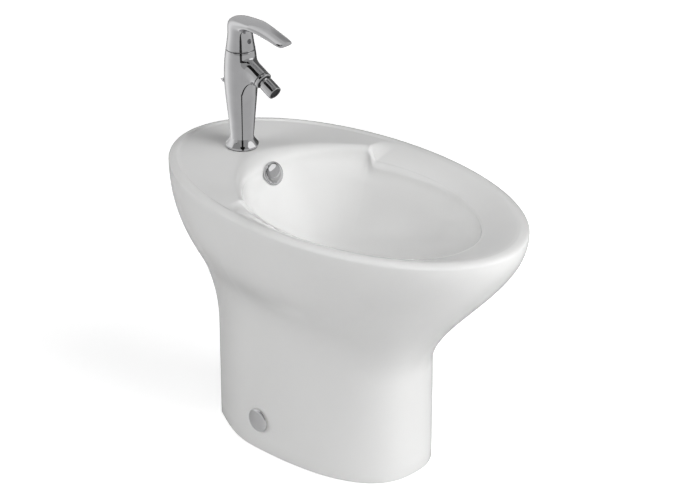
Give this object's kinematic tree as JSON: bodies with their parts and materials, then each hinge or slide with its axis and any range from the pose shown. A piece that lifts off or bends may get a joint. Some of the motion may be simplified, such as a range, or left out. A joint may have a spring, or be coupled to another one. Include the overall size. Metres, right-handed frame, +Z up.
{
  "type": "floor standing bidet",
  "caption": "floor standing bidet: oval ceramic bowl on a waisted foot, a deck mounted mixer tap with a swivel jet, and a pop-up waste",
  "frame": {"origin": "on the floor under the middle of the rim, which is the bottom centre of the whole object", "axes": "+X right, -Y to the front where one sits, +Y to the wall, +Z up"},
  "size_m": [0.3538, 0.6, 0.5956],
  "materials": {
    "china": "white gloss glaze",
    "chrome": "polished chrome plating",
    "steel": "plain zinc plated steel",
    "brass": "plain turned brass",
    "rubber": "matt black rubber",
    "plastic": "white moulded plastic",
    "dark_plastic": "dark grey moulded insert",
    "marker": "small grey plug"
  },
  "bodies": {
    "pan": {"ceramic_body": "china", "tap_body": "chrome", "base_gasket": "rubber", "fixing_stud": "steel", "fixing_rubber": "rubber", "fixing_plate": "steel", "fixing_nut": "brass", "cartridge_housing": "plastic", "cartridge_ring": "brass", "dome_cap": "chrome", "jet_collar": "chrome", "pivot_nut": "plastic", "waste_flange": "chrome", "flange_seal": "rubber", "waste_body": "chrome", "waste_rubber": "rubber", "waste_washer": "plastic", "waste_nut": "brass", "tailpiece": "chrome", "tailpiece_nut": "chrome", "tailpiece_seal": "rubber", "overflow_cover": "chrome", "overflow_clip": "plastic", "side_caps": "chrome", "cap_bases": "plastic", "side_screws": "steel", "floor_brackets": "plastic"},
    "mixer": {"cartridge_carrier": "plastic"},
    "lever": {"lever_stem": "steel", "lever_handle": "chrome", "grub_screw": "steel", "indicator_plug": "marker"},
    "jet_ring": {"jet_seat": "plastic"},
    "jet": {"jet_nozzle": "chrome", "jet_aerator": "dark_plastic"},
    "lift": {"lift_rod": "steel", "lift_knob": "chrome", "link_strap": "steel", "strap_screw": "steel"},
    "rocker": {"pivot_rod": "steel"},
    "plug": {"waste_plug": "chrome", "plug_seal": "rubber"}
  },
  "joints": [
    {"name": "lever_swivel", "type": "hinge", "parent": "pan", "child": "mixer", "pos_m": [0, 0.202, 0.5327], "axis": [0, 0, 1], "range_deg": [-45, 45]},
    {"name": "lever_lift", "type": "hinge", "parent": "mixer", "child": "lever", "pos_m": [0, 0.202, 0.5327], "axis": [-1, 0, 0], "range_deg": [0, 25]},
    {"name": "jet_spin", "type": "hinge", "parent": "pan", "child": "jet_ring", "pos_m": [0, 0.15766, 0.51108], "axis": [0, -0.8878, -0.4602], "continuous": true},
    {"name": "jet_tilt", "type": "hinge", "parent": "jet_ring", "child": "jet", "pos_m": [0, 0.15766, 0.51108], "axis": [1, 0, 0], "range_deg": [-15, 15]},
    {"name": "lift_slide", "type": "slide", "parent": "pan", "child": "lift", "axis": [0, 0, 1], "range_m": [-0.028, 0]},
    {"name": "rocker_turn", "type": "hinge", "parent": "pan", "child": "rocker", "pos_m": [0, 0.057, 0.198], "axis": [1, 0, 0], "range_deg": [-10.31, 0.3]},
    {"name": "plug_slide", "type": "slide", "parent": "pan", "child": "plug", "axis": [0, 0, 1], "range_m": [-0.0001, 0.00571]}
  ],
  "couplings": [
    {"joint": "rocker_turn", "follows": "lift_slide", "rad_per_m": 6.2404},
    {"joint": "plug_slide", "follows": "lift_slide", "ratio": -0.2002}
  ]
}
